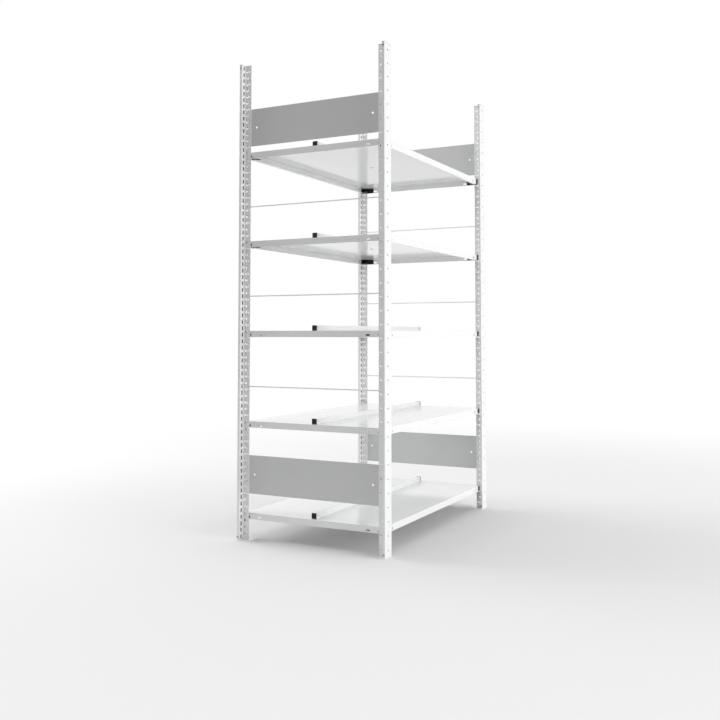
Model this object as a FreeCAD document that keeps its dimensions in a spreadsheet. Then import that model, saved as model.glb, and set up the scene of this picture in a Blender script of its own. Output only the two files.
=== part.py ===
import FreeCAD, Part

import os

import Sketcher

# One bay of double-sided clip-in steel shelving: two end frames and five trays
# that rest on clips hooked into the uprights.
# Millimetres. +X runs along the shelves, the front faces -Y and +Z is up.
# The origin is on the floor, in the middle of the footprint.

LEVELS = 5
RODS_PER_FRAME = 3
RIVETS_PER_EDGE = 3
SCREWS_PER_STOP = 3

# the least volume, in cubic millimetres, that a pocket has to remove
SMALLEST_CUT = 1

SIZES = {
    # whole bay; the pitch is between the centre planes of the two end frames
    "rack_height": 1850,
    "rack_depth": 632,
    "post_pitch": 1006,
    # upright: a closed box flange with a double web behind its middle
    "flange_width": 55,
    "flange_depth": 9.5,
    "post_sheet": 1.25,
    "web_reach": 36.5,
    # rows of holes in the upright
    "front_hole_d": 6,
    "front_hole_start": 25,
    "front_hole_pitch": 50,
    "slot_start": 12.5,
    "slot_pitch": 25,
    "slot_offset": 12.5,
    "slot_width": 7,
    "slot_height": 15,
    "window_length": 11,
    "window_height": 9.5,
    "window_start": 25,
    "window_behind_flange": 9,
    "web_hole_d": 6,
    "web_hole_start": 25,
    "web_hole_pitch": 50,
    "web_hole_behind_flange": 18.8,
    # foot plate with two ears inside the flange, and its bolts
    "foot_width": 60,
    "foot_depth": 54,
    "foot_sheet": 2.5,
    "foot_ear_sheet": 2,
    "foot_ear_height": 22,
    "foot_ear_gap": 0.3,
    "anchor_hole_d": 10,
    "anchor_side_margin": 10,
    "anchor_back_margin": 9,
    "foot_bolt_d": 6,
    "foot_bolt_play": 0.5,
    "foot_bolt_from_end": 13.4,
    "foot_bolt_tail": 1,
    "foot_bolt_head_d": 9,
    "foot_bolt_head": 2,
    # sheet panels riveted to the webs; the low ones start a number of slots up
    # from the lowest slot, and the high ones a number down from the highest
    "panel_sheet": 1,
    "panel_height": 147,
    "panel_overlap": 12.5,
    "panel_slots_from_floor": 7,
    "panel_slots_from_top": 12,
    "panel_hole_d": 8,
    "panel_hole_from_web": 25,
    "rivet_d": 4,
    "rivet_head_d": 7,
    "rivet_head": 1.2,
    "rivet_from_web_edge": 6.5,
    "rivet_above_panel_edge": 11,
    "rivet_pitch": 50,
    # tie rods, slit at both ends over the webs
    "rod_d": 4.5,
    "rod_overlap": 12,
    "rod_low_slot": 23,
    # shelf trays
    "shelf_low_slot": 3,
    "slots_per_level": 14,
    "deck_above_slot": 15.5,
    "shelf_sheet": 1,
    "shelf_end_gap": 3,
    "lip_setback": 18,
    "lip_height": 25,
    "lip_return": 13,
    "end_lip_height": 24,
    "ear_gap": 2.5,
    "ear_overhang": 0.5,
    "ear_slit": 4,
    "tray_hole_d": 8,
    "tray_hole_drop": 16,
    "lip_hole_from_lip_end": 41,
    "end_hole_from_ear": 25,
    "end_slot_from_ear": 71,
    "end_slot_length": 17,
    "end_slot_height": 6,
    # middle stop, a closed tube along the deck with a plastic cap at each end
    "stop_width": 18.5,
    "stop_height": 20,
    "stop_sheet": 1,
    "stop_end_gap": 15,
    "stop_hole_d": 5,
    "stop_hole_height": 10.7,
    "stop_hole_from_cap": 10,
    "cap_sheet": 3,
    "cap_rim": 0.5,
    "cap_plug": 12,
    "cap_plug_gap": 0.2,
    "cap_dimple_d": 7,
    "cap_dimple_depth": 1.5,
    "cap_dimple_offset": 3,
    # screws that hold the stop through cross slots in the deck
    "screw_d": 3.5,
    "screw_play": 0.5,
    "screw_pitch": 400,
    "screw_rise": 5,
    "screw_head_d": 7,
    "screw_head": 2,
    "deck_slot_length": 38,
    # shelf clips
    "clip_sheet": 2,
    "clip_gap": 0.3,
    "clip_length": 53,
    "clip_drop": 23,
    "clip_slit_gap": 0.5,
    "clip_foot_depth": 20,
    "clip_toe_reach": 44,
    "clip_toe_width": 16,
    "clip_toe_from_wall": 16,
    "clip_toe_overlap": 4,
    "clip_boss_d": 10,
    "clip_boss_hole_d": 5,
    "clip_boss": 1.5,
    "tongue_play": 0.5,
    "tongue_height": 8,
    "tongue_hook": 5,
    "tongue_hook_sheet": 2.25,
    "notch_play": 1.5,
}

doc = FreeCAD.newDocument("shelving_bay")
dims = doc.addObject("Spreadsheet::Sheet", "dims")
for row, (alias, value) in enumerate(SIZES.items(), start=1):
    dims.set(f"A{row}", alias)
    dims.set(f"B{row}", str(value))
    dims.setAlias(f"B{row}", alias)
doc.recompute()

# Planes and places that several pieces share, as expressions of the sheet.
POST_X = "(dims.post_pitch / 2)"
FACE_Y = "(dims.rack_depth / 2)"
HALF_FLANGE = "(dims.flange_width / 2)"
HALF_WEB = "dims.post_sheet"
WEB_EDGE_Y = f"({FACE_Y} - dims.web_reach)"
BOLT_HOLE_D = "(dims.foot_bolt_d + dims.foot_bolt_play)"
BOLT_HOLE_Y = "(dims.flange_depth / 2)"
SHELF_X = f"({POST_X} - dims.shelf_end_gap)"
LIP_Y = f"({FACE_Y} - dims.lip_setback)"
EAR_Y = f"({FACE_Y} - dims.flange_depth - dims.ear_gap)"
EAR_X = f"({POST_X} - {HALF_FLANGE} - dims.ear_overhang)"
LIP_X = f"({EAR_X} - dims.ear_slit)"
STOP_END_X = f"({SHELF_X} - dims.stop_end_gap)"
STOP_X = f"({STOP_END_X} - dims.cap_sheet)"
END_HOLE_Y = f"({EAR_Y} - dims.end_hole_from_ear)"
TONGUE_X = f"({POST_X} - dims.slot_offset)"
TONGUE_WIDTH = "(dims.slot_width - 2 * dims.tongue_play)"
TONGUE_LOW_Z = "(-dims.deck_above_slot - dims.slot_height / 2)"
TONGUE_HIGH_Z = f"({TONGUE_LOW_Z} + dims.tongue_height)"

DIRECTIONS = {
    "+x": FreeCAD.Vector(1, 0, 0),
    "-x": FreeCAD.Vector(-1, 0, 0),
    "+y": FreeCAD.Vector(0, 1, 0),
    "+z": FreeCAD.Vector(0, 0, 1),
    "-z": FreeCAD.Vector(0, 0, -1),
}
OPPOSITE = {"+x": "-x", "-x": "+x", "+z": "-z"}

subparts = []


def number(expression):
    """The present value of an expression of the sheet."""
    return float(dims.evalExpression(expression))


def negative(expression):
    return f"-({expression})"


def steps_up(start, pitch):
    """How many steps of a row of holes fit the post with the same margin at both ends."""
    return f"floor((dims.rack_height - 2 * {start}) / {pitch})"


def slot_z(index):
    """Height of the middle of a numbered slot, the lowest being 0."""
    return f"(dims.slot_start + dims.slot_pitch * ({index}))"


def level_z(level):
    """Height of the deck of a level, the lowest being 0."""
    return f"({slot_z(f'dims.shelf_low_slot + dims.slots_per_level * {level}')} + dims.deck_above_slot)"


# Part primitives bound to the sheet

def place(item, x, y, z):
    for axis, value in zip("xyz", (x, y, z)):
        item.setExpression(f"Placement.Base.{axis}", value)


def box(name, x_span, y_span, z_span):
    """A block between three pairs of planes."""
    block = doc.addObject("Part::Box", name)
    for size, (low, high) in zip(("Length", "Width", "Height"), (x_span, y_span, z_span)):
        block.setExpression(size, f"({high}) - ({low})")
    place(block, x_span[0], y_span[0], z_span[0])
    return block


def cylinder(name, direction, base, diameter, length):
    """A round bar that leaves its base point in one of the axis directions."""
    bar = doc.addObject("Part::Cylinder", name)
    up = FreeCAD.Vector(0, 0, 1)
    bar.Placement.Rotation = FreeCAD.Rotation(up, DIRECTIONS[direction])
    bar.setExpression("Radius", f"({diameter}) / 2")
    bar.setExpression("Height", length)
    place(bar, *base)
    return bar


def fuse(name, pieces):
    joined = doc.addObject("Part::MultiFuse", name)
    joined.Shapes = pieces
    joined.Refine = True
    return joined


def cut(name, base, tools):
    result = doc.addObject("Part::Cut", name)
    result.Base = base
    result.Tool = tools[0] if len(tools) == 1 else fuse(f"{name}_tools", tools)
    result.Refine = True
    return result


def group(name, pieces):
    """Separate solids that share one node."""
    together = doc.addObject("Part::Compound", name)
    together.Links = pieces
    return together


def headed_pin(name, direction, seat, diameter, length, head_diameter, head_height):
    """A shank and a round head; the direction points from the head into the work."""
    shank = cylinder(f"{name}_shank", direction, seat, diameter, length)
    head = cylinder(f"{name}_head", OPPOSITE[direction], seat, head_diameter, head_height)
    return fuse(name, [shank, head])


def oblong(name, direction, start, length, slot_length, slot_width):
    """A round-ended slot cutter: its slot lies along Y and it cuts along X or Z."""
    x, y, z = start
    half_run = f"(({slot_length}) - ({slot_width})) / 2"
    half_width = f"({slot_width}) / 2"
    ends = []
    for tag, sign in (("a", "-"), ("b", "+")):
        base = (x, f"{y} {sign} {half_run}", z)
        ends.append(cylinder(f"{name}_{tag}", direction, base, slot_width, length))
    y_span = (f"{y} - {half_run}", f"{y} + {half_run}")
    if direction == "+x":
        middle = box(f"{name}_mid", (x, f"{x} + {length}"), y_span,
                     (f"{z} - {half_width}", f"{z} + {half_width}"))
    else:
        middle = box(f"{name}_mid", (f"{x} - {half_width}", f"{x} + {half_width}"), y_span,
                     (z, f"{z} + {length}"))
    return fuse(name, [middle] + ends)


def mirror(name, source, axis):
    """The mirror image across the bay's middle plane that is square to an axis."""
    image = doc.addObject("Part::Mirroring", name)
    image.Source = source
    image.Normal = DIRECTIONS[f"+{axis}"]
    return image


def four_corners(name, front_left):
    """The piece at the front left and its images at the other three corners."""
    back_left = mirror(f"{name}_back_left", front_left, "y")
    front_right = mirror(f"{name}_front_right", front_left, "x")
    back_right = mirror(f"{name}_back_right", back_left, "x")
    return [front_left, back_left, front_right, back_right]


def subpart(item, label):
    item.Label = label
    subparts.append(item)


# Sketches bound to the sheet

def sketch_on(body, name, role, offset="0"):
    """A sketch on one of the body's origin planes, moved along the plane's normal."""
    plane = next(item for item in body.Origin.OriginFeatures if item.Role == role)
    sketch = body.newObject("Sketcher::SketchObject", name)
    sketch.AttachmentSupport = [(plane, "")]
    sketch.MapMode = "FlatFace"
    sketch.setExpression("AttachmentOffset.Base.z", offset)
    return sketch


def dimension(sketch, kind, places, expression):
    index = sketch.addConstraint(Sketcher.Constraint(kind, *places, number(expression)))
    sketch.setExpression(f"Constraints[{index}]", expression)


def pin(sketch, edge, point, x, y):
    """Hold a point of an edge at a place measured from the sketch's origin."""
    dimension(sketch, "DistanceX", (-1, 1, edge, point), x)
    dimension(sketch, "DistanceY", (-1, 1, edge, point), y)


def polygon(sketch, corners):
    """A closed loop of straight edges with every corner pinned."""
    points = [FreeCAD.Vector(number(x), number(y), 0) for x, y in corners]
    following = points[1:] + points[:1]
    edges = [sketch.addGeometry(Part.LineSegment(a, b)) for a, b in zip(points, following)]
    for edge, neighbour in zip(edges, edges[1:] + edges[:1]):
        sketch.addConstraint(Sketcher.Constraint("Coincident", edge, 2, neighbour, 1))
    for edge, (x, y) in zip(edges, corners):
        pin(sketch, edge, 1, x, y)


def rectangle(sketch, x_span, y_span):
    low_x, high_x = x_span
    low_y, high_y = y_span
    polygon(sketch, [(low_x, low_y), (high_x, low_y), (high_x, high_y), (low_x, high_y)])


def circle(sketch, x, y, diameter):
    centre = FreeCAD.Vector(number(x), number(y), 0)
    ring = Part.Circle(centre, DIRECTIONS["+z"], number(diameter) / 2)
    edge = sketch.addGeometry(ring)
    dimension(sketch, "Diameter", (edge,), diameter)
    pin(sketch, edge, 3, x, y)


def pocket(body, sketch, name, depth, reverse=False, both_ways=False):
    hole = body.newObject("PartDesign::Pocket", name)
    hole.Profile = sketch
    hole.setExpression("Length", depth)
    hole.Reversed = reverse
    hole.Midplane = both_ways
    return hole


def repeat_upwards(body, feature, start, pitch):
    """Copies of a hole up the post."""
    steps = steps_up(start, pitch)
    row = body.newObject("PartDesign::LinearPattern", f"{feature.Name}_row")
    row.Originals = [feature]
    row.Direction = (feature.Profile[0], ["V_Axis"])
    row.setExpression("Length", f"{steps} * {pitch}")
    row.setExpression("Occurrences", f"{steps} + 1")
    body.Tip = row


# Uprights

def upright():
    """The front left upright. Body axes: X across the flange, Y into the bay."""
    body = doc.addObject("PartDesign::Body", "upright")
    place(body, negative(POST_X), negative(FACE_Y), "0")

    profile = sketch_on(body, "upright_profile", "XY_Plane", "dims.foot_sheet")
    polygon(profile, [
        (negative(HALF_FLANGE), "0"),
        (HALF_FLANGE, "0"),
        (HALF_FLANGE, "dims.flange_depth"),
        (HALF_WEB, "dims.flange_depth"),
        (HALF_WEB, "dims.web_reach"),
        (negative(HALF_WEB), "dims.web_reach"),
        (negative(HALF_WEB), "dims.flange_depth"),
        (negative(HALF_FLANGE), "dims.flange_depth"),
    ])
    inner_x = f"({HALF_FLANGE} - dims.post_sheet)"
    rectangle(profile, (negative(inner_x), inner_x),
              ("dims.post_sheet", "dims.flange_depth - dims.post_sheet"))
    post = body.newObject("PartDesign::Pad", "upright_pad")
    post.Profile = profile
    post.setExpression("Length", "dims.rack_height - dims.foot_sheet")

    front_holes(body)
    hook_slots(body)
    web_holes(body)
    rivet_holes(body)
    bolt_holes(body)
    return body


def front_holes(body):
    """One row of round holes up the middle of the front face."""
    sketch = sketch_on(body, "front_hole_sketch", "XZ_Plane")
    circle(sketch, "0", "dims.front_hole_start", "dims.front_hole_d")
    hole = pocket(body, sketch, "front_hole", "dims.flange_depth / 2")
    repeat_upwards(body, hole, "dims.front_hole_start", "dims.front_hole_pitch")


def hook_slots(body):
    """A slot each side of the web, in the back of the flange, for the clips' tongues."""
    sketch = sketch_on(body, "hook_slot_sketch", "XZ_Plane", "-dims.flange_depth")
    z_span = ("dims.slot_start - dims.slot_height / 2", "dims.slot_start + dims.slot_height / 2")
    for sign in ("-", ""):
        centre = f"{sign}dims.slot_offset"
        x_span = (f"{centre} - dims.slot_width / 2", f"{centre} + dims.slot_width / 2")
        rectangle(sketch, x_span, z_span)
    slots = pocket(body, sketch, "hook_slot", "dims.flange_depth / 2", reverse=True)
    repeat_upwards(body, slots, "dims.slot_start", "dims.slot_pitch")


def web_holes(body):
    """Oblong windows near the flange and round holes further in, through the web."""
    depth = f"4 * {HALF_WEB}"
    window = sketch_on(body, "window_sketch", "YZ_Plane")
    round_ended(window, "dims.flange_depth + dims.window_behind_flange", "dims.window_start",
                "dims.window_length", "dims.window_height")
    window_cut = pocket(body, window, "window", depth, both_ways=True)
    repeat_upwards(body, window_cut, "dims.window_start", "dims.slot_pitch")

    hole = sketch_on(body, "web_hole_sketch", "YZ_Plane")
    circle(hole, "dims.flange_depth + dims.web_hole_behind_flange", "dims.web_hole_start",
           "dims.web_hole_d")
    hole_cut = pocket(body, hole, "web_hole", depth, both_ways=True)
    repeat_upwards(body, hole_cut, "dims.web_hole_start", "dims.web_hole_pitch")


def round_ended(sketch, x, y, length, height):
    """A slot outline with round ends, lying along the sketch's first axis."""
    radius = number(height) / 2
    half_run = f"({length} - {height}) / 2"
    centres = [f"{x} + {half_run}", f"{x} - {half_run}"]
    right, left = [FreeCAD.Vector(number(c), number(y), 0) for c in centres]
    rise = FreeCAD.Vector(0, radius, 0)
    reach = FreeCAD.Vector(radius, 0, 0)
    arcs = [
        sketch.addGeometry(Part.Arc(right - rise, right + reach, right + rise)),
        sketch.addGeometry(Part.Arc(left + rise, left - reach, left - rise)),
    ]
    top = sketch.addGeometry(Part.LineSegment(right + rise, left + rise))
    bottom = sketch.addGeometry(Part.LineSegment(left - rise, right - rise))
    for arc_end, line_end in (((arcs[0], 2), (top, 1)), ((top, 2), (arcs[1], 1)),
                              ((arcs[1], 2), (bottom, 1)), ((bottom, 2), (arcs[0], 1))):
        sketch.addConstraint(Sketcher.Constraint("Tangent", *arc_end, *line_end))
    sketch.addConstraint(Sketcher.Constraint("Equal", arcs[0], arcs[1]))
    dimension(sketch, "Diameter", (arcs[0],), height)
    for arc, centre in zip(arcs, centres):
        pin(sketch, arc, 3, centre, y)


def rivet_holes(body):
    """Holes for the rivets of the bottom and the top panel, near the web's edge."""
    sketch = sketch_on(body, "rivet_hole_sketch", "YZ_Plane")
    for _, slot_index in PANELS:
        for step in range(RIVETS_PER_EDGE):
            circle(sketch, "dims.web_reach - dims.rivet_from_web_edge", rivet_z(slot_index, step),
                   "dims.rivet_d")
    pocket(body, sketch, "rivet_hole", f"4 * {HALF_WEB}", both_ways=True)


def bolt_holes(body):
    """A hole through both lips of the flange near the foot and near the top."""
    sketch = sketch_on(body, "bolt_hole_sketch", "YZ_Plane")
    for height in ("dims.foot_bolt_from_end", "dims.rack_height - dims.foot_bolt_from_end"):
        circle(sketch, BOLT_HOLE_Y, height, BOLT_HOLE_D)
    body.Tip = pocket(body, sketch, "bolt_hole", "2 * dims.flange_width", both_ways=True)


# Foot plates and their bolts

def foot_plate():
    """The plate under the front left upright, with its two ears inside the flange."""
    x, y = negative(POST_X), negative(FACE_Y)
    half_width = "dims.foot_width / 2"
    plate = box("foot_sheet", (f"{x} - {half_width}", f"{x} + {half_width}"),
                (y, f"{y} + dims.foot_depth"), ("0", "dims.foot_sheet"))
    ear_y = (f"{y} + dims.post_sheet + dims.foot_ear_gap",
             f"{y} + dims.flange_depth - dims.post_sheet - dims.foot_ear_gap")
    ear_z = ("0", "dims.foot_sheet + dims.foot_ear_height")
    outer = f"({HALF_FLANGE} - dims.post_sheet)"
    inner = f"({outer} - dims.foot_ear_sheet)"
    ears = [
        box("foot_ear_outer", (f"{x} - {outer}", f"{x} - {inner}"), ear_y, ear_z),
        box("foot_ear_inner", (f"{x} + {inner}", f"{x} + {outer}"), ear_y, ear_z),
    ]
    tools = []
    for tag, sign in (("outer", "-"), ("inner", "+")):
        anchor_x = f"{x} {sign} ({half_width} - dims.anchor_side_margin)"
        anchor_y = f"{y} + dims.foot_depth - dims.anchor_back_margin"
        tools.append(cylinder(f"anchor_{tag}", "+z", (anchor_x, anchor_y, "0"),
                              "dims.anchor_hole_d", "dims.foot_sheet"))
    bolt_base = (f"{x} - {outer}", f"{y} + {BOLT_HOLE_Y}", "dims.foot_bolt_from_end")
    tools.append(cylinder("ear_bolt_hole", "+x", bolt_base, "dims.foot_bolt_d", f"2 * {outer}"))
    return cut("foot_plate", fuse("foot_blank", [plate] + ears), tools)


def foot_bolts():
    """Bolts through both lips of the front left flange into the foot plate's ears."""
    length = "dims.post_sheet + dims.foot_ear_sheet + dims.foot_bolt_tail"
    bolts = []
    for tag, sign, direction in (("outer", "-", "+x"), ("inner", "+", "-x")):
        seat = (f"{negative(POST_X)} {sign} {HALF_FLANGE}",
                f"{negative(FACE_Y)} + {BOLT_HOLE_Y}", "dims.foot_bolt_from_end")
        bolts.append(headed_pin(f"foot_bolt_{tag}", direction, seat, "dims.foot_bolt_d", length,
                                "dims.foot_bolt_head_d", "dims.foot_bolt_head"))
    return bolts


# Frame panels, rivets and tie rods

def frame_panel(name, post_x, slot_index):
    """A sheet on the +X side of the two webs of a frame."""
    face_x = f"{post_x} + {HALF_WEB}"
    low_z = f"{slot_z(slot_index)} - dims.rivet_above_panel_edge"
    half_y = f"({WEB_EDGE_Y} + dims.panel_overlap)"
    sheet = box(f"{name}_sheet", (face_x, f"{face_x} + dims.panel_sheet"),
                (negative(half_y), half_y), (low_z, f"{low_z} + dims.panel_height"))
    holes = []
    for tag, sign in (("front", "-"), ("back", "+")):
        base = (face_x, f"0 {sign} ({WEB_EDGE_Y} - dims.panel_hole_from_web)",
                f"{low_z} + dims.panel_height / 2")
        holes.append(cylinder(f"{name}_hole_{tag}", "+x", base, "dims.panel_hole_d",
                              "dims.panel_sheet"))
    for index, seat in enumerate(rivets_of(post_x, slot_index)):
        holes.append(cylinder(f"{name}_rivet_hole_{index}", "+x", seat, "dims.rivet_d",
                              f"2 * {HALF_WEB} + dims.panel_sheet"))
    return cut(name, sheet, holes)


def rivets_of(post_x, slot_index):
    """Where the rivet heads of one panel sit, on the -X faces of the webs."""
    seats = []
    for sign in ("-", "+"):
        for step in range(RIVETS_PER_EDGE):
            seats.append((f"{post_x} - {HALF_WEB}",
                          f"0 {sign} ({WEB_EDGE_Y} + dims.rivet_from_web_edge)",
                          rivet_z(slot_index, step)))
    return seats


def rivet_z(slot_index, step):
    """Height of a rivet; the lowest of a panel is level with the panel's slot."""
    return f"{slot_z(slot_index)} + dims.rivet_pitch * {step}"


def tie_rod(name, post_x, index):
    """A round rod in the plane of the webs, slit at both ends to grip them."""
    z = slot_z(f"dims.rod_low_slot + dims.slots_per_level * {index}")
    half_y = f"({WEB_EDGE_Y} + dims.rod_overlap)"
    bar = cylinder(f"{name}_bar", "+y", (post_x, negative(half_y), z), "dims.rod_d",
                   f"2 * {half_y}")
    x_span = (f"{post_x} - {HALF_WEB}", f"{post_x} + {HALF_WEB}")
    z_span = (f"{z} - dims.rod_d", f"{z} + dims.rod_d")
    slits = [
        box(f"{name}_slit_front", x_span, (negative(half_y), negative(WEB_EDGE_Y)), z_span),
        box(f"{name}_slit_back", x_span, (WEB_EDGE_Y, half_y), z_span),
    ]
    return cut(name, bar, slits)


# Shelf trays; their deck's top is at z = 0 until they are placed on a level

def tray():
    deck_z = ("-dims.shelf_sheet", "0")
    lip_z = ("-dims.lip_height", "0")
    both_x = (negative(SHELF_X), SHELF_X)
    lip_inner_y = f"({LIP_Y} - dims.shelf_sheet)"
    walls = [box("deck", both_x, (negative(LIP_Y), LIP_Y), deck_z)]
    for end, y_sign in (("front", "-"), ("back", "")):
        spans = {
            "lip": ((LIP_Y, lip_inner_y), lip_z),
            "return": ((LIP_Y, f"{LIP_Y} - dims.lip_return"),
                       ("-dims.lip_height", "-dims.lip_height + dims.shelf_sheet")),
        }
        for part, (y_pair, z_span) in spans.items():
            walls.append(box(f"{part}_{end}", (negative(LIP_X), LIP_X),
                             signed_span(y_sign, *y_pair), z_span))
    for side, x_sign in (("left", "-"), ("right", "")):
        end_x = signed_span(x_sign, SHELF_X, f"{SHELF_X} - dims.shelf_sheet")
        walls.append(box(f"end_lip_{side}", end_x, (negative(EAR_Y), EAR_Y),
                         ("-dims.end_lip_height", "0")))
        for end, y_sign in (("front", "-"), ("back", "")):
            ear_x = signed_span(x_sign, SHELF_X, EAR_X)
            walls.append(box(f"ear_{end}_{side}", ear_x, signed_span(y_sign, EAR_Y, LIP_Y), deck_z))
            walls.append(box(f"flap_{end}_{side}", ear_x,
                             signed_span(y_sign, EAR_Y, f"{EAR_Y} - dims.shelf_sheet"), lip_z))
    return cut("tray", fuse("tray_blank", walls), tray_cutters())


def signed_span(sign, far, near):
    """A span between two distances from a middle plane, on the side of the sign."""
    if sign == "-":
        return (negative(far), negative(near))
    return (near, far)


def tray_cutters():
    """Cutters that run right through the tray, so that one cuts both of a pair of walls."""
    hole_z = "-dims.tray_hole_drop"
    full_y = "2 * dims.rack_depth"
    full_x = "2 * dims.post_pitch"
    cutters = []
    for side, sign in (("left", "-"), ("right", "+")):
        lip_hole_x = f"0 {sign} ({LIP_X} - dims.lip_hole_from_lip_end)"
        cutters.append(cylinder(f"lip_holes_{side}", "+y", (lip_hole_x, "-dims.rack_depth", hole_z),
                                "dims.tray_hole_d", full_y))
        half_notch = f"({TONGUE_WIDTH} / 2 + dims.notch_play)"
        notch_x = f"0 {sign} {TONGUE_X}"
        cutters.append(box(f"notches_{side}", (f"{notch_x} - {half_notch}", f"{notch_x} + {half_notch}"),
                           ("-dims.rack_depth", "dims.rack_depth"),
                           ("-2 * dims.lip_height", f"{TONGUE_HIGH_Z} + dims.notch_play")))
    for end, sign in (("front", "-"), ("back", "+")):
        hole_y = f"0 {sign} {END_HOLE_Y}"
        slot_y = f"0 {sign} ({EAR_Y} - dims.end_slot_from_ear)"
        cutters.append(cylinder(f"end_holes_{end}", "+x", ("-dims.post_pitch", hole_y, hole_z),
                                "dims.tray_hole_d", full_x))
        cutters.append(oblong(f"end_slots_{end}", "+x", ("-dims.post_pitch", slot_y, hole_z), full_x,
                              "dims.end_slot_length", "dims.end_slot_height"))
    for index, x in enumerate(screw_xs()):
        cutters.append(oblong(f"deck_slot_{index}", "+z", (x, "0", "-dims.shelf_sheet"),
                              "dims.shelf_sheet", "dims.deck_slot_length",
                              "dims.screw_d + dims.screw_play"))
    return cutters


# Middle stop with its caps and screws, also built on a deck at z = 0

def screw_xs():
    middle = (SCREWS_PER_STOP - 1) / 2
    return [f"dims.screw_pitch * ({index - middle})" for index in range(SCREWS_PER_STOP)]


def middle_stop():
    """A closed tube with cross holes near its ends and screw holes in its floor."""
    half_width = "(dims.stop_width / 2)"
    outside = box("stop_outside", (negative(STOP_X), STOP_X), (negative(half_width), half_width),
                  ("0", "dims.stop_height"))
    inner_y = f"({half_width} - dims.stop_sheet)"
    tools = [box("stop_inside", (negative(STOP_X), STOP_X), (negative(inner_y), inner_y),
                 ("dims.stop_sheet", "dims.stop_height - dims.stop_sheet"))]
    for side, sign in (("left", "-"), ("right", "+")):
        base = (f"0 {sign} ({STOP_X} - dims.stop_hole_from_cap)", "-dims.stop_width",
                "dims.stop_hole_height")
        tools.append(cylinder(f"stop_hole_{side}", "+y", base, "dims.stop_hole_d",
                              "2 * dims.stop_width"))
    for index, x in enumerate(screw_xs()):
        tools.append(cylinder(f"stop_screw_hole_{index}", "+z", (x, "0", "0"), "dims.screw_d",
                              "dims.stop_sheet"))
    return cut("stop", outside, tools)


def left_cap():
    """A flanged plug in the left end of the stop, with a dimple in its face."""
    face_x = negative(STOP_END_X)
    half_width = "(dims.stop_width / 2 + dims.cap_rim)"
    face = box("cap_face", (face_x, f"{face_x} + dims.cap_sheet"), (negative(half_width), half_width),
               ("0", "dims.stop_height + dims.cap_rim"))
    wall = "(dims.stop_sheet + dims.cap_plug_gap)"
    plug_y = f"(dims.stop_width / 2 - {wall})"
    plug = box("cap_plug_block", (face_x, f"{face_x} + dims.cap_sheet + dims.cap_plug"),
               (negative(plug_y), plug_y), (wall, f"dims.stop_height - {wall}"))
    dimple = cylinder("cap_dimple", "+x", (face_x, "dims.cap_dimple_offset", "dims.stop_height / 2"),
                      "dims.cap_dimple_d", "dims.cap_dimple_depth")
    return cut("cap_left", fuse("cap_blank", [face, plug]), [dimple])


def stop_screws():
    """Screws from under the deck into the floor of the stop."""
    screws = []
    for index, x in enumerate(screw_xs()):
        screws.append(headed_pin(f"stop_screw_{index}", "+z", (x, "0", "-dims.shelf_sheet"),
                                 "dims.screw_d", "dims.shelf_sheet + dims.screw_rise",
                                 "dims.screw_head_d", "dims.screw_head"))
    return screws


# Shelf clips, also built on a deck at z = 0

def clip():
    """The clip of the front left corner. It stands in the corner of the tray, carries the
    deck on its edges and hooks its tongue into a slot of the upright."""
    side_x = f"(-{SHELF_X} + dims.shelf_sheet + dims.clip_gap)"
    wall_y = f"(-{LIP_Y} + dims.shelf_sheet + dims.clip_gap)"
    wall_end_x = f"(-{LIP_X} - dims.clip_slit_gap)"
    inner_x = f"({side_x} + dims.clip_sheet)"
    toe_y = f"({wall_y} + dims.clip_toe_from_wall)"
    z_span = ("-dims.clip_drop", "-dims.shelf_sheet")
    foot_z = ("-dims.clip_drop", "-dims.clip_drop + dims.clip_sheet")
    body = fuse("clip_blank", [
        box("clip_side", (side_x, inner_x), (wall_y, f"{wall_y} + dims.clip_length"), z_span),
        box("clip_wall", (side_x, wall_end_x), (wall_y, f"{wall_y} + dims.clip_sheet"), z_span),
        box("clip_foot", (side_x, wall_end_x), (wall_y, f"{wall_y} + dims.clip_foot_depth"), foot_z),
        box("clip_toe", (f"{wall_end_x} - dims.clip_toe_overlap", f"{side_x} + dims.clip_toe_reach"),
            (toe_y, f"{toe_y} + dims.clip_toe_width"), foot_z),
        cylinder("clip_boss_ring", "+x", (inner_x, negative(END_HOLE_Y), "-dims.tray_hole_drop"),
                 "dims.clip_boss_d", "dims.clip_boss"),
    ] + tongue(wall_y))
    return cut("clip", body, [
        cylinder("clip_boss_hole", "+x", (side_x, negative(END_HOLE_Y), "-dims.tray_hole_drop"),
                 "dims.clip_boss_hole_d", "dims.clip_sheet + dims.clip_boss"),
    ])


def tongue(wall_y):
    """The bar that rests on a slot's lower edge and the hook behind it."""
    half_width = f"{TONGUE_WIDTH} / 2"
    x_span = (f"-{TONGUE_X} - {half_width}", f"-{TONGUE_X} + {half_width}")
    hook_back_y = f"(-{FACE_Y} + dims.flange_depth - dims.post_sheet - dims.tongue_play)"
    hook_front_y = f"({hook_back_y} - dims.tongue_hook_sheet)"
    return [
        box("tongue_bar", x_span, (hook_front_y, wall_y), (TONGUE_LOW_Z, TONGUE_HIGH_Z)),
        box("tongue_hook", x_span, (hook_front_y, hook_back_y),
            (f"{TONGUE_LOW_Z} - dims.tongue_hook", TONGUE_LOW_Z)),
    ]


# Assembly

FRAMES = (("left", negative(POST_X)), ("right", POST_X))
PANELS = (
    ("bottom", "dims.panel_slots_from_floor"),
    ("top", f"{steps_up('dims.slot_start', 'dims.slot_pitch')} - dims.panel_slots_from_top"),
)
CORNERS = ("front_left", "back_left", "front_right", "back_right")


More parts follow.
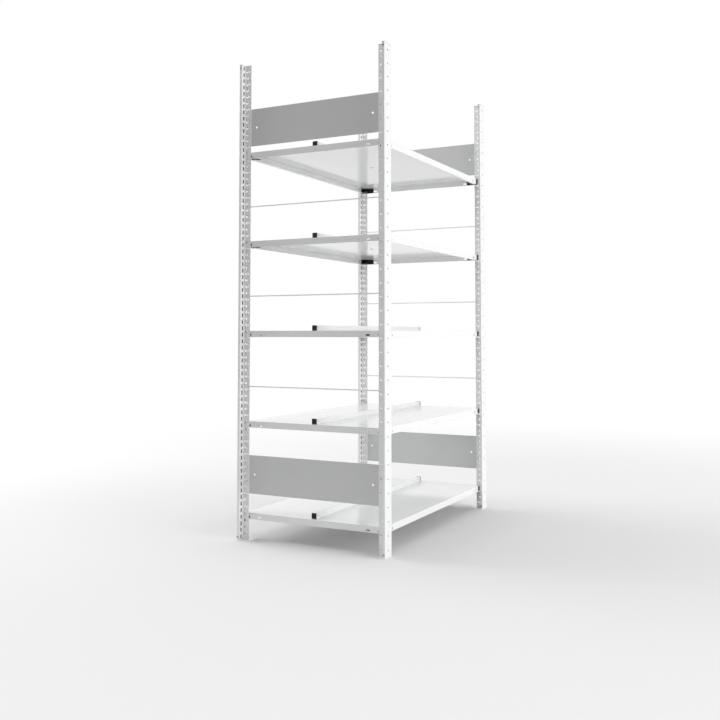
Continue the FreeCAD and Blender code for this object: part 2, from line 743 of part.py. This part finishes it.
def end_frames():
    for corner, post in zip(CORNERS, four_corners("post", upright())):
        subpart(post, f"upright_{corner}")
    for corner, plate in zip(CORNERS, four_corners("foot", foot_plate())):
        subpart(plate, f"foot_plate_{corner}")
    bolts = [image for bolt in foot_bolts() for image in four_corners(bolt.Name, bolt)]
    subpart(group("all_foot_bolts", bolts), "foot_bolts")

    rivets = []
    for side, post_x in FRAMES:
        for height, slot_index in PANELS:
            label = f"frame_panel_{height}_{side}"
            subpart(frame_panel(f"{label}_cut", post_x, slot_index), label)
            for index, seat in enumerate(rivets_of(post_x, slot_index)):
                rivets.append(headed_pin(f"rivet_{height}_{side}_{index}", "+x", seat, "dims.rivet_d",
                                         f"2 * {HALF_WEB} + dims.panel_sheet",
                                         "dims.rivet_head_d", "dims.rivet_head"))
        for index in range(RODS_PER_FRAME):
            label = f"tie_rod_{side}_{index + 1}"
            subpart(tie_rod(f"{label}_cut", post_x, index), label)
    subpart(group("all_panel_rivets", rivets), "panel_rivets")


def shelf_levels():
    """Every level holds the same pieces, lifted to the height of its slots."""
    cap = left_cap()
    pieces = {
        "shelf": [tray()],
        "center_stop": [middle_stop()],
        "stop_caps": [cap, mirror("cap_right", cap, "x")],
        "stop_screws": stop_screws(),
        "shelf_clips": four_corners("clip", clip()),
    }
    for level in range(LEVELS):
        for name, solids in pieces.items():
            label = f"{name}_{level + 1}"
            item = group(f"{label}_set", solids)
            place(item, "0", "0", level_z(level))
            subpart(item, label)


def failed(item):
    return "Invalid" in item.State or "Error" in item.State


def check_document():
    """Stop if a feature failed, a pocket cut nothing or a sub-part isn't sound."""
    for item in doc.Objects:
        if failed(item):
            raise RuntimeError(f"{item.Name} failed to compute")
        if item.TypeId == "PartDesign::Pocket":
            if item.BaseFeature.Shape.Volume - item.Shape.Volume < SMALLEST_CUT:
                raise RuntimeError(f"{item.Name} cuts nothing")
    for item in subparts:
        if item.Shape.isNull() or not item.Shape.isValid():
            raise RuntimeError(f"{item.Label} has no valid shape")


end_frames()
shelf_levels()
doc.recompute()
check_document()

os.makedirs("parts", exist_ok=True)
for item in subparts:
    item.Shape.exportStep(f"parts/{item.Label}.step")
    print(item.Label, len(item.Shape.Solids), round(item.Shape.Volume))
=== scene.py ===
import math

import bpy
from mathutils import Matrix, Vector


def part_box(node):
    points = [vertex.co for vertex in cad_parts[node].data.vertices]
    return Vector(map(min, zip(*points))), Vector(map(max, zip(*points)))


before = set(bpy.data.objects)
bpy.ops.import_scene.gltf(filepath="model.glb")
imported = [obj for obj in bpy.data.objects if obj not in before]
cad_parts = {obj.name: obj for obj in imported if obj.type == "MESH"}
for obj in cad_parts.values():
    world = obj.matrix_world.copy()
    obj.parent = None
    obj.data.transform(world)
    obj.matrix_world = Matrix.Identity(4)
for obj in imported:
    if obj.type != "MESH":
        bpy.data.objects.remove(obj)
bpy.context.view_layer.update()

# Lengths are in metres and pattern scales are per metre, unless a name says otherwise.

# The camera, fitted to the photograph.
CAMERA_PLACE = (-3.3978, -1.7084, 0.7936)
CAMERA_YAW = -1.09125
CAMERA_PITCH = 0.05047
FRAME_PIXELS = 720
FOCAL_PIXELS = 894.7
PRINCIPAL_ROW = 288
SENSOR_MM = 36.0

# Each studio light: place, what it aims at, width and height, and watts.
LIGHTS = {
    "front": ((-0.2, -6.4, 1.5), (0, 0, 0.9), (4.0, 2.8), 165),
    "back": ((-0.4, 6.5, 2.8), (0, 0, 0.9), (4.5, 4.0), 270),
    "top": ((1.2, 0, 6.0), (0, 0, 0), (3.5, 4.0), 45),
}

# The surroundings are bright in front, above and behind, and dim at both ends of the row.
# A direction counts as a side or an end by how much of it lies along X.
SIDE_LIGHT = 1.08
END_LIGHT = 0.2
SIDE_TO_END = (0.25, 0.7)

# The floor gives back less light beyond the ends of the row, from one X to the other,
# and fades to white away from the object, from one distance to the other.
FLOOR_SIZE = 60
FLOOR_TONE = (0.81, 0.81, 0.81)
FLOOR_TONE_AT_ENDS = (0.4, 0.4, 0.4)
FLOOR_ENDS = (0.7, 1.6)
FLOOR_FADE = (0.8, 4.5)
FLOOR_ROUGHNESS = 0.9
FLOOR_SPECULAR = 0.1

# Each surface varies between a darker and a lighter tone.
PAINT = ((0.895, 0.9, 0.9), (0.91, 0.915, 0.915))
# Painted shade: the panels' tones are a darker copy of the same paint, standing for the dimmer
# light on their faces along X.
PANEL_PAINT_SHADED = ((0.64, 0.645, 0.645), (0.66, 0.665, 0.665))
CLIP_BLACK = ((0.008, 0.008, 0.009), (0.02, 0.02, 0.021))
CAP_BLACK = ((0.009, 0.009, 0.01), (0.017, 0.017, 0.018))
ZINC = ((0.38, 0.385, 0.39), (0.52, 0.525, 0.53))
PAINT_IOR = 1.65
BLACK_SPECULAR = 0.25

# Noise rarely leaves this range, so it is stretched from here.
NOISE_RANGE = (0.3, 0.7)
NOISE_ROUGHNESS = 0.5
BEVEL_SAMPLES = 6

# The uprights' closed flange, coloured near black inside as painted shade, and the grey rim
# along their top edge.
FLANGE_DEPTH = 0.0095
POST_SHEET = 0.00125
# Painted shade: a near-black colour for the inside of the closed flange.
SHADE_INSIDE_FLANGE = (0.1, 0.1, 0.105)
RIM_HEIGHT = 0.004
RIM_GREY = (0.66, 0.665, 0.67)


# Node helpers. An owner is a material or a world: anything with a node tree.

def link(owner, source, target):
    owner.node_tree.links.new(source, target)


def add(owner, kind, **settings):
    node = owner.node_tree.nodes.new(kind)
    for name, value in settings.items():
        setattr(node, name, value)
    return node


def feed(owner, target, value):
    """Link a socket to the target, or set the target to a number or a colour."""
    if isinstance(value, bpy.types.NodeSocket):
        link(owner, value, target)
    elif isinstance(value, tuple):
        target.default_value = (*value, 1)
    else:
        target.default_value = value


def compute(owner, operation, *operands):
    node = add(owner, "ShaderNodeMath", operation=operation)
    for target, operand in zip(node.inputs, operands):
        feed(owner, target, operand)
    return node.outputs["Value"]


def mix(owner, factor, first, second, kind="RGBA"):
    node = add(owner, "ShaderNodeMix", data_type=kind)
    feed(owner, node.inputs["Factor"], factor)
    feed(owner, node.inputs["A"], first)
    feed(owner, node.inputs["B"], second)
    return node.outputs["Result"]


def remap(owner, source, span, low=0.0, high=1.0, curve="LINEAR"):
    """A value carried from a span to the range from low to high, and held at its ends."""
    node = add(owner, "ShaderNodeMapRange", interpolation_type=curve)
    node.inputs["From Min"].default_value, node.inputs["From Max"].default_value = span
    node.inputs["To Min"].default_value = low
    node.inputs["To Max"].default_value = high
    link(owner, source, node.inputs["Value"])
    return node.outputs["Result"]


def object_place(owner):
    return add(owner, "ShaderNodeTexCoord").outputs["Object"]


def axes(owner, vector):
    node = add(owner, "ShaderNodeSeparateXYZ")
    link(owner, vector, node.inputs["Vector"])
    return node.outputs


def noise(owner, scale, detail):
    """Noise in object coordinates, so one unit of the pattern is 1 / scale metres."""
    texture = add(owner, "ShaderNodeTexNoise")
    texture.inputs["Scale"].default_value = scale
    texture.inputs["Detail"].default_value = detail
    texture.inputs["Roughness"].default_value = NOISE_ROUGHNESS
    link(owner, object_place(owner), texture.inputs["Vector"])
    return texture.outputs["Fac"]


# Materials

def new_material(name):
    material = bpy.data.materials.new(name)
    material.use_nodes = True
    material.node_tree.nodes.clear()
    shader = add(material, "ShaderNodeBsdfPrincipled")
    output = add(material, "ShaderNodeOutputMaterial")
    link(material, shader.outputs["BSDF"], output.inputs["Surface"])
    return material, shader


def varied(name, tones, tone_scale, roughness, roughness_scale, grain_scale, grain_height,
           edge_radius, tone_detail=2, grain_detail=2):
    """A surface with clouds of tone and gloss, a fine grain, and edges that catch the light
    as if they were rounded."""
    material, shader = new_material(name)
    clouds = remap(material, noise(material, tone_scale, tone_detail), NOISE_RANGE)
    link(material, mix(material, clouds, *tones), shader.inputs["Base Color"])
    gloss = remap(material, noise(material, roughness_scale, 2), NOISE_RANGE, *roughness)
    link(material, gloss, shader.inputs["Roughness"])

    edge = add(material, "ShaderNodeBevel", samples=BEVEL_SAMPLES)
    edge.inputs["Radius"].default_value = edge_radius
    bump = add(material, "ShaderNodeBump")
    bump.inputs["Distance"].default_value = grain_height
    link(material, noise(material, grain_scale, grain_detail), bump.inputs["Height"])
    link(material, edge.outputs["Normal"], bump.inputs["Normal"])
    link(material, bump.outputs["Normal"], shader.inputs["Normal"])
    return material, shader


def powder_coat(name, peel_scale, tones=PAINT):
    """Glossy pale paint baked on steel: faint orange peel, hardly any change of tone."""
    material, shader = varied(name, tones, tone_scale=3, roughness=(0.09, 0.12),
                              roughness_scale=12, grain_scale=peel_scale,
                              grain_height=0.000003, edge_radius=0.0007)
    shader.inputs["IOR"].default_value = PAINT_IOR
    return material, shader


def post_coat(name, peel_scale):
    """The uprights' paint, with a near-black colour inside the closed flange as painted shade
    where light hardly reaches, and a grey rim along the top. One upright stands for all four,
    because the bay is the same on both sides of X and of Y."""
    material, shader = powder_coat(name, peel_scale)
    low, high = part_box("upright_front_left")
    place = axes(material, object_place(material))
    across = near(material, place["X"], -(low.x + high.x) / 2, (high.x - low.x - POST_SHEET) / 2)
    behind = near(material, place["Y"], -low.y - FLANGE_DEPTH / 2,
                  (FLANGE_DEPTH - POST_SHEET) / 2)
    hollow = compute(material, "MULTIPLY", across, behind)
    rim = compute(material, "GREATER_THAN", place["Z"], high.z - RIM_HEIGHT)
    painted = shader.inputs["Base Color"].links[0].from_socket
    # Painted shade: inside the closed flange the paint gives way to a near-black colour that
    # stands for the shade there.
    sides = mix(material, hollow, painted, SHADE_INSIDE_FLANGE)
    link(material, mix(material, rim, sides, RIM_GREY), shader.inputs["Base Color"])
    return material, shader


def near(material, coordinate, middle, reach):
    """1 where a coordinate, taken without its sign, lies within reach of middle, else 0."""
    return compute(material, "COMPARE", compute(material, "ABSOLUTE", coordinate), middle, reach)


def clip_paint(name):
    """Satin black paint with a fine grain and a slightly rubbed tone."""
    material, shader = varied(name, CLIP_BLACK, tone_scale=120, roughness=(0.32, 0.5),
                              roughness_scale=400, grain_scale=1500,
                              grain_height=0.00008, edge_radius=0.0004)
    shader.inputs["Specular IOR Level"].default_value = BLACK_SPECULAR
    return material, shader


def cap_plastic(name):
    """Moulded black plastic with an eroded grain."""
    material, shader = varied(name, CAP_BLACK, tone_scale=200, roughness=(0.42, 0.6),
                              roughness_scale=900, grain_scale=2600,
                              grain_height=0.00012, edge_radius=0.0005, grain_detail=4)
    shader.inputs["Specular IOR Level"].default_value = BLACK_SPECULAR
    return material, shader


def zinc(name):
    """Dull zinc-plated steel with cloudy plating."""
    material, shader = varied(name, ZINC, tone_scale=350, roughness=(0.3, 0.5),
                              roughness_scale=700, grain_scale=1200,
                              grain_height=0.00006, edge_radius=0.0003, tone_detail=4)
    shader.inputs["Metallic"].default_value = 1
    return material, shader


def dress_nodes():
    """Every CAD node keeps its shape and gets a material by the start of its name. The
    clips come before the trays, whose prefix would fit them too."""
    by_prefix = {
        "upright": post_coat("post_paint", 700),
        "foot_plate": powder_coat("foot_paint", 800),
        # Painted shade: the panels get the darker copy of the paint.
        "frame_panel": powder_coat("panel_paint_shaded", 500, PANEL_PAINT_SHADED),
        "tie_rod": powder_coat("rod_paint", 900),
        "shelf_clips": clip_paint("clip_paint"),
        "shelf_": powder_coat("tray_paint", 450),
        "center_stop": powder_coat("stop_paint", 650),
        "stop_caps": cap_plastic("cap_plastic"),
        "stop_screws": zinc("screw_zinc"),
        "foot_bolts": zinc("bolt_zinc"),
        "panel_rivets": powder_coat("rivet_paint", 1200),
    }
    for name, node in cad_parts.items():
        material = next(pair[0] for prefix, pair in by_prefix.items() if name.startswith(prefix))
        node.data.materials.clear()
        node.data.materials.append(material)


# Studio

def floor():
    """A pale floor that fades to plain white away from the object."""
    bpy.ops.mesh.primitive_plane_add(size=FLOOR_SIZE, location=(0, 0, 0))
    ground = bpy.context.object
    ground.name = "floor"

    material, shader = new_material("floor_white")
    shader.inputs["Roughness"].default_value = FLOOR_ROUGHNESS
    shader.inputs["Specular IOR Level"].default_value = FLOOR_SPECULAR
    place = object_place(material)
    rays = add(material, "ShaderNodeLightPath").outputs

    along = compute(material, "ABSOLUTE", axes(material, place)["X"])
    ends = remap(material, along, FLOOR_ENDS, curve="SMOOTHSTEP")
    dimmed = compute(material, "MULTIPLY", ends, rays["Is Diffuse Ray"])
    link(material, mix(material, dimmed, FLOOR_TONE, FLOOR_TONE_AT_ENDS),
         shader.inputs["Base Color"])

    distance = add(material, "ShaderNodeVectorMath", operation="LENGTH")
    link(material, place, distance.inputs[0])
    fade = remap(material, distance.outputs["Value"], FLOOR_FADE, curve="SMOOTHSTEP")
    looked_at = compute(material, "MAXIMUM", rays["Is Camera Ray"], rays["Is Glossy Ray"])
    faded = add(material, "ShaderNodeMixShader")
    link(material, compute(material, "MULTIPLY", fade, looked_at), faded.inputs["Fac"])
    link(material, shader.outputs["BSDF"], faded.inputs[1])
    link(material, add(material, "ShaderNodeEmission").outputs["Emission"], faded.inputs[2])
    output = material.node_tree.nodes["Material Output"]
    link(material, faded.outputs["Shader"], output.inputs["Surface"])
    ground.data.materials.append(material)


def surroundings():
    """Soft light in a broad arch over the row; the camera and mirrors see plain white."""
    world = bpy.data.worlds.new("studio")
    bpy.context.scene.world = world
    world.use_nodes = True
    direction = add(world, "ShaderNodeTexCoord").outputs["Generated"]
    along = compute(world, "ABSOLUTE", axes(world, direction)["X"])
    level = remap(world, along, SIDE_TO_END, SIDE_LIGHT, END_LIGHT, curve="SMOOTHSTEP")
    rays = add(world, "ShaderNodeLightPath").outputs
    for ray in ("Is Camera Ray", "Is Glossy Ray", "Is Transmission Ray"):
        level = mix(world, rays[ray], level, 1, kind="FLOAT")
    background = world.node_tree.nodes["Background"]
    background.inputs["Color"].default_value = (1, 1, 1, 1)
    link(world, level, background.inputs["Strength"])


def lights():
    for name, (place, target, size, watts) in LIGHTS.items():
        data = bpy.data.lights.new(name, "AREA")
        data.shape = "RECTANGLE"
        data.size, data.size_y = size
        data.energy = watts
        lamp = bpy.data.objects.new(name, data)
        bpy.context.scene.collection.objects.link(lamp)
        lamp.location = place
        lamp.rotation_mode = "QUATERNION"
        lamp.rotation_quaternion = (Vector(target) - Vector(place)).to_track_quat("-Z", "Y")


def camera():
    data = bpy.data.cameras.new("camera")
    data.sensor_width = SENSOR_MM
    data.lens = FOCAL_PIXELS / FRAME_PIXELS * SENSOR_MM
    data.shift_y = (PRINCIPAL_ROW - FRAME_PIXELS / 2) / FRAME_PIXELS
    eye = bpy.data.objects.new("camera", data)
    bpy.context.scene.collection.objects.link(eye)
    eye.location = CAMERA_PLACE
    eye.rotation_euler = (math.pi / 2 + CAMERA_PITCH, 0, CAMERA_YAW)
    bpy.context.scene.camera = eye


dress_nodes()
floor()
surroundings()
lights()
camera()
bpy.context.scene.view_settings.view_transform = "Standard"
